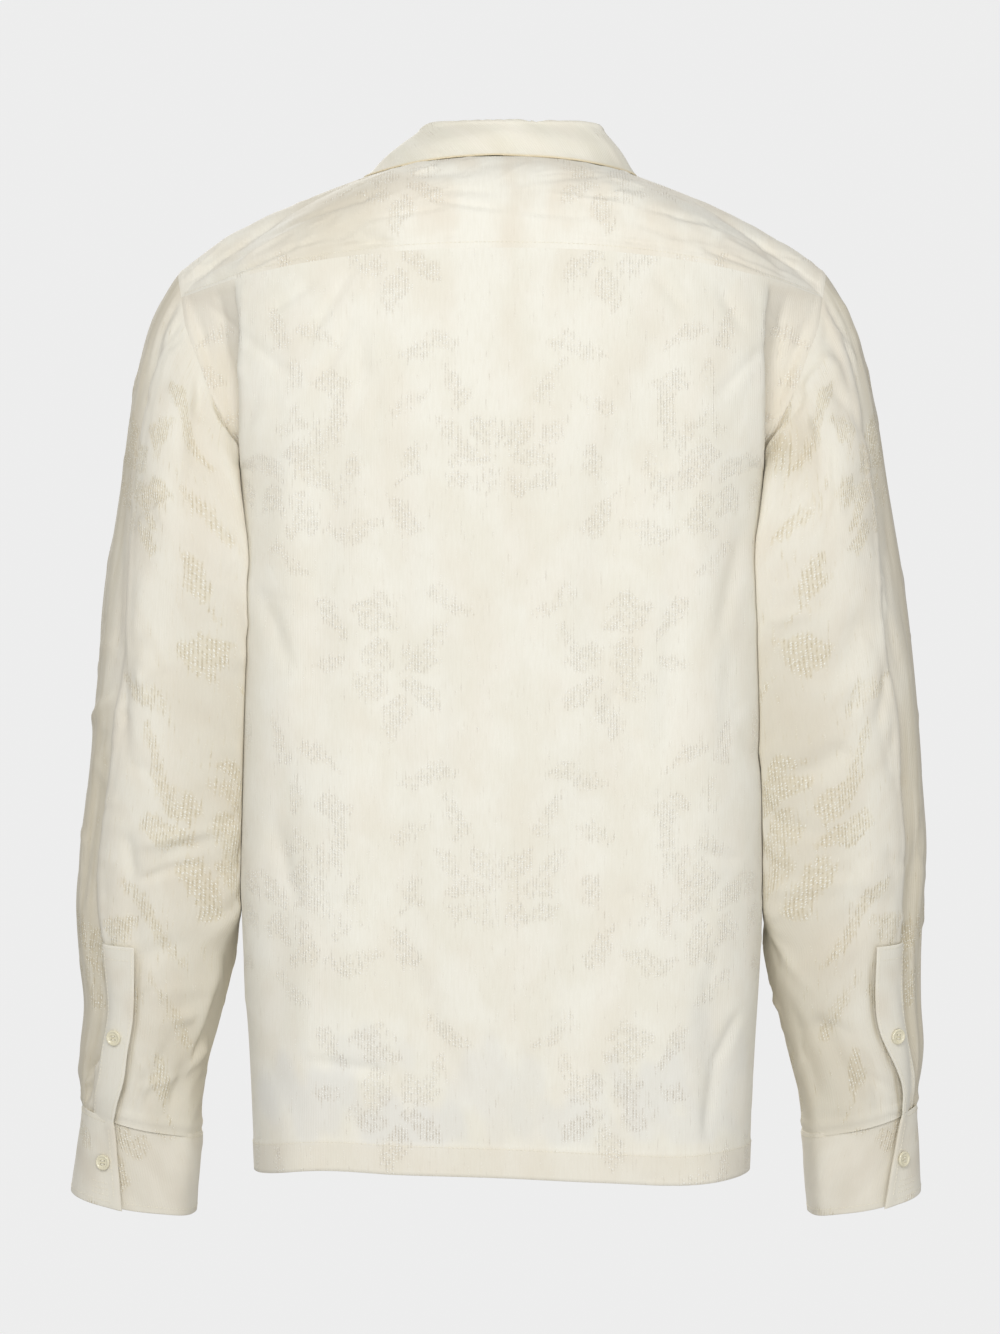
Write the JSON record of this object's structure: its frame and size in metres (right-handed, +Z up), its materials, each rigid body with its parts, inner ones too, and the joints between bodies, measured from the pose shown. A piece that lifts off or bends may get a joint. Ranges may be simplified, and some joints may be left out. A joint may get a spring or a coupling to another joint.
{
  "type": "camp shirt",
  "caption": "Long-sleeved cotton camp shirt with open collar, yoke and buttoned cuffs, worn and hollow with no wearer.",
  "frame": {"origin": "middle of the neck at the height of the shoulder-neck points, where the wearer's shoulders hold the shirt", "axes": "+Z up, -Y the wearer's front, +X the wearer's left"},
  "size_m": [0.6108, 0.2612, 0.7745],
  "materials": {
    "body cloth": "cream openwork cotton",
    "yoke cloth": "cream openwork cotton",
    "sleeve cloth": "cream openwork cotton",
    "cuff cloth": "cream openwork cotton, interlined",
    "button": "pearly cream, polished"
  },
  "bodies": {
    "root": {"back": "body cloth", "yoke": "yoke cloth", "left_front": "body cloth", "right_front": "body cloth", "left_revers": "body cloth", "right_revers": "body cloth", "collar": "yoke cloth", "left_sleeve": "sleeve cloth", "right_sleeve": "sleeve cloth", "left_placket": "cuff cloth", "right_placket": "cuff cloth", "left_cuff": "cuff cloth", "right_cuff": "cuff cloth", "front_button_1": "button", "front_button_2": "button", "front_button_3": "button", "front_button_4": "button", "front_button_5": "button", "left_placket_button": "button", "left_cuff_button": "button", "right_placket_button": "button", "right_cuff_button": "button"}
  },
  "joints": []
}
